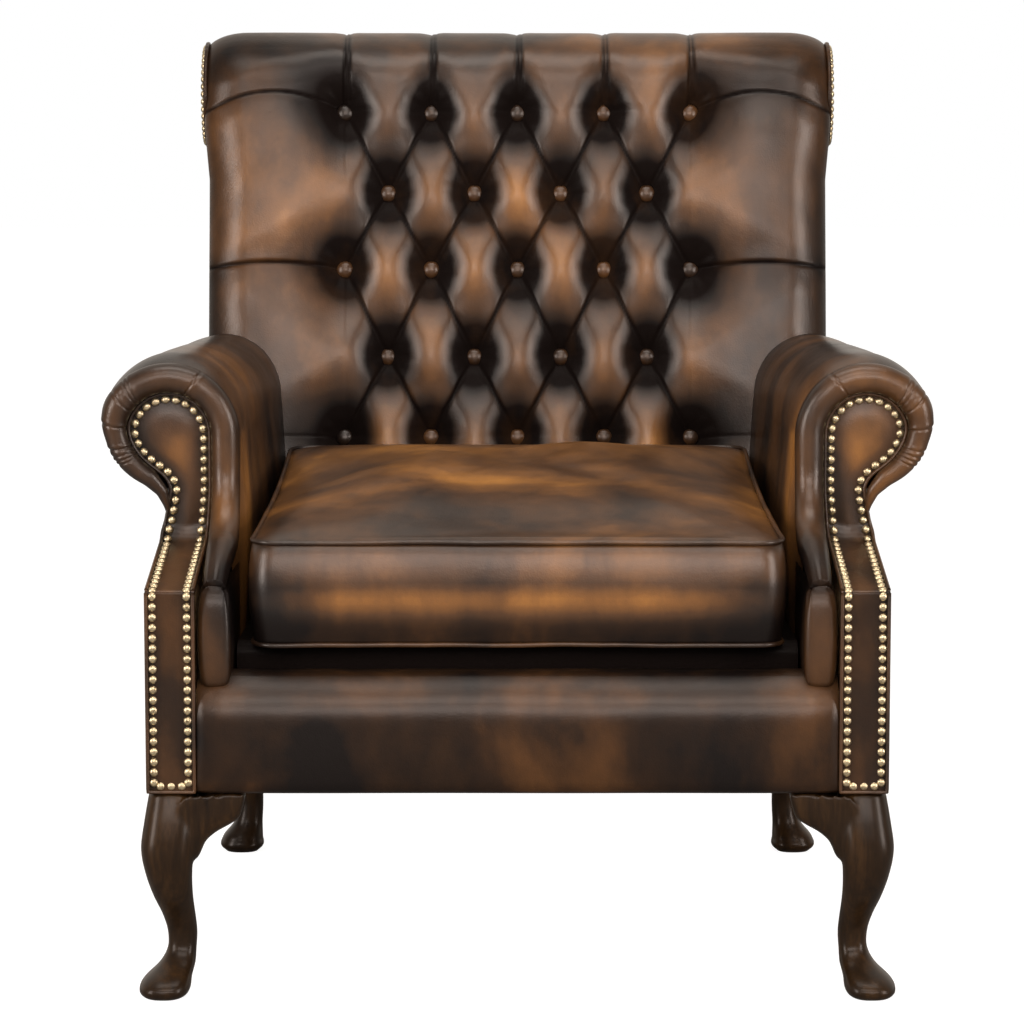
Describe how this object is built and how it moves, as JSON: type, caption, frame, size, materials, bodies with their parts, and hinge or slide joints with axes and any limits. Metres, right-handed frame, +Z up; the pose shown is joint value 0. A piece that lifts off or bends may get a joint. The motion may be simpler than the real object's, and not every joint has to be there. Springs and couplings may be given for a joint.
{
  "type": "chesterfield armchair",
  "caption": "Scroll-arm leather armchair with a deep-buttoned back, loose piped seat cushion, brass nails and cabriole front legs.",
  "frame": {"origin": "centre of the footprint on the floor, under the chair", "axes": "+Z up, -Y towards the front where the sitter faces, +X to the viewer's right when seen from the front"},
  "size_m": [0.8704, 0.856, 0.95],
  "materials": {
    "leather": "antiqued dark brown, rubbed amber on the crowns, satin",
    "piping_leather": "antiqued dark brown welt, satin",
    "button_leather": "antiqued dark brown, polished by use",
    "nail_brass": "aged antique brass",
    "leg_wood": "dark mahogany, glossy polish",
    "frame_wood": "raw sawn hardwood",
    "bolt_steel": "plain steel",
    "webbing": "woven jute",
    "deck_cloth": "dark brown platform leather, matt",
    "dust_cloth": "black non-woven cloth",
    "foam": "foam block",
    "zip_tape": "dark brown woven tape",
    "zip_metal": "dull brass"
  },
  "bodies": {
    "chair": {"front_rail": "frame_wood", "rear_rail": "frame_wood", "left_side_rail": "frame_wood", "right_side_rail": "frame_wood", "left_outside_arm": "leather", "right_outside_arm": "leather", "left_arm_post": "frame_wood", "right_arm_post": "frame_wood", "left_arm_stump": "frame_wood", "right_arm_stump": "frame_wood", "corner_blocks": "frame_wood", "left_back_post": "frame_wood", "right_back_post": "frame_wood", "crest_rail": "frame_wood", "back_tacking_rail": "frame_wood", "left_arm_rail": "frame_wood", "right_arm_rail": "frame_wood", "left_arm_slat": "frame_wood", "right_arm_slat": "frame_wood", "front_left_leg": "leg_wood", "front_right_leg": "leg_wood", "rear_left_leg": "leg_wood", "rear_right_leg": "leg_wood", "leg_bolts": "bolt_steel", "seat_webbing_long": "webbing", "seat_webbing_cross": "webbing", "seat_deck": "deck_cloth", "dust_cover": "dust_cloth", "back_webbing": "webbing", "front_border": "leather", "left_post_facing": "leather", "right_post_facing": "leather", "left_arm_facing": "leather", "right_arm_facing": "leather", "outside_back": "leather", "left_back_side": "leather", "right_back_side": "leather", "left_arm_pad": "leather", "right_arm_pad": "leather", "left_arm_border": "leather", "right_arm_border": "leather", "back_pad": "leather", "back_buttons": "button_leather", "left_back_facing": "leather", "right_back_facing": "leather", "left_facing_piping": "piping_leather", "right_facing_piping": "piping_leather", "left_arm_nails": "nail_brass", "right_arm_nails": "nail_brass", "left_back_nails": "nail_brass", "right_back_nails": "nail_brass"},
    "cushion": {"cushion_cover": "leather", "cushion_foam": "foam", "cushion_piping_top": "piping_leather", "cushion_piping_bottom": "piping_leather", "zip_tape": "zip_tape"},
    "zip_slider": {"zip_slider": "zip_metal"},
    "zip_pull": {"zip_pull": "zip_metal"}
  },
  "joints": [
    {"name": "cushion_lift", "type": "slide", "parent": "chair", "child": "cushion", "axis": [0, 0, 1], "range_m": [0, 0.3]},
    {"name": "zip_slide", "type": "slide", "parent": "cushion", "child": "zip_slider", "axis": [1, 0, 0], "range_m": [-0.37, 0]},
    {"name": "zip_pull_swing", "type": "hinge", "parent": "zip_slider", "child": "zip_pull", "pos_m": [0.185, 0.17563, 0.4133], "axis": [1, 0, 0], "range_deg": [0, 90]}
  ]
}
